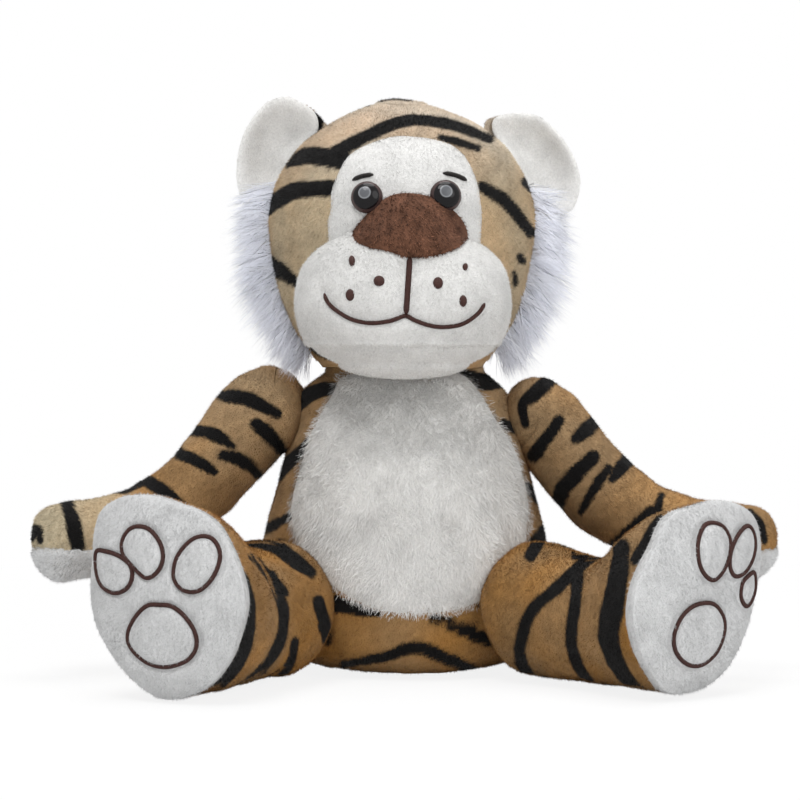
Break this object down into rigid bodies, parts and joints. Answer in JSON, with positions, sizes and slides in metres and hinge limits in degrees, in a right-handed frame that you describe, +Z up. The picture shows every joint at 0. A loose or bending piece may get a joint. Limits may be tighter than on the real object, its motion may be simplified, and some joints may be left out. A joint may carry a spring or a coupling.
{
  "type": "plush tiger",
  "caption": "Sitting plush tiger: striped tan body with white belly, muzzle and soles, round ears, cheek fur, sewn limbs and tail that give at their seams.",
  "frame": {"origin": "middle of the flat seat that the torso rests on", "axes": "+Z up, -Y the way the tiger faces, +X its own left"},
  "size_m": [0.3072, 0.2566, 0.2443],
  "materials": {
    "tan_plush": "short pile plush, tan with black stripes",
    "white_plush": "short white pile",
    "white_long_fur": "long bluish white fur",
    "brown_plush": "short brown pile",
    "black_plush": "short black pile",
    "stuffing": "loose polyester fibre",
    "eye_plastic": "polished",
    "washer_plastic": "moulded"
  },
  "bodies": {
    "torso": {"torso_skin": "tan_plush", "belly_panel": "white_plush", "torso_stuffing": "stuffing", "seat_bean_bag": "stuffing"},
    "head": {"head_skin": "tan_plush", "face_panel": "white_plush", "head_stuffing": "stuffing", "muzzle": "white_plush", "chin_panel": "white_plush", "muzzle_stuffing": "stuffing", "nose": "brown_plush", "eye_left": "eye_plastic", "eye_right": "eye_plastic", "eye_washer_left": "washer_plastic", "eye_washer_right": "washer_plastic", "cheek_ruff_left": "white_long_fur", "cheek_ruff_right": "white_long_fur"},
    "left_ear": {"ear_back_left": "tan_plush", "ear_lining_left": "white_plush"},
    "right_ear": {"ear_back_right": "tan_plush", "ear_lining_right": "white_plush"},
    "left_arm": {"arm_left": "tan_plush", "palm_left": "white_plush", "arm_stuffing_left": "stuffing"},
    "right_arm": {"arm_right": "tan_plush", "palm_right": "white_plush", "arm_stuffing_right": "stuffing"},
    "left_leg": {"leg_left": "tan_plush", "sole_left": "white_plush", "leg_stuffing_left": "stuffing"},
    "right_leg": {"leg_right": "tan_plush", "sole_right": "white_plush", "leg_stuffing_right": "stuffing"},
    "tail": {"tail_skin": "tan_plush", "tail_tip": "black_plush", "tail_stuffing": "stuffing"}
  },
  "joints": [
    {"name": "neck_turn", "type": "hinge", "parent": "torso", "child": "head", "pos_m": [0, 0, 0.1246], "axis": [0, 0, 1], "range_deg": [-35, 35], "stiffness_Nm_per_rad": 0.8},
    {"name": "left_ear_flop", "type": "hinge", "parent": "head", "child": "left_ear", "pos_m": [0.04366, -0.004, 0.21732], "axis": [0.6157, 0, -0.788], "range_deg": [-22, 22], "stiffness_Nm_per_rad": 0.05},
    {"name": "right_ear_flop", "type": "hinge", "parent": "head", "child": "right_ear", "pos_m": [-0.04366, -0.004, 0.21732], "axis": [0.6157, 0, 0.788], "range_deg": [-22, 22], "stiffness_Nm_per_rad": 0.05},
    {"name": "left_arm_raise", "type": "hinge", "parent": "torso", "child": "left_arm", "pos_m": [0.0595, 0, 0.107], "axis": [0, -1, 0], "range_deg": [-5, 38], "stiffness_Nm_per_rad": 0.5},
    {"name": "right_arm_raise", "type": "hinge", "parent": "torso", "child": "right_arm", "pos_m": [-0.0595, 0, 0.107], "axis": [0, 1, 0], "range_deg": [-5, 38], "stiffness_Nm_per_rad": 0.5},
    {"name": "left_leg_splay", "type": "hinge", "parent": "torso", "child": "left_leg", "pos_m": [0.055, -0.038, 0.031], "axis": [0, 0, 1], "range_deg": [-22, 6], "stiffness_Nm_per_rad": 0.8},
    {"name": "right_leg_splay", "type": "hinge", "parent": "torso", "child": "right_leg", "pos_m": [-0.055, -0.038, 0.031], "axis": [0, 0, -1], "range_deg": [-8, 20], "stiffness_Nm_per_rad": 0.8},
    {"name": "tail_swing", "type": "hinge", "parent": "torso", "child": "tail", "pos_m": [0, 0.048, 0.016], "axis": [0, 0, 1], "range_deg": [-35, 35], "stiffness_Nm_per_rad": 0.1}
  ]
}
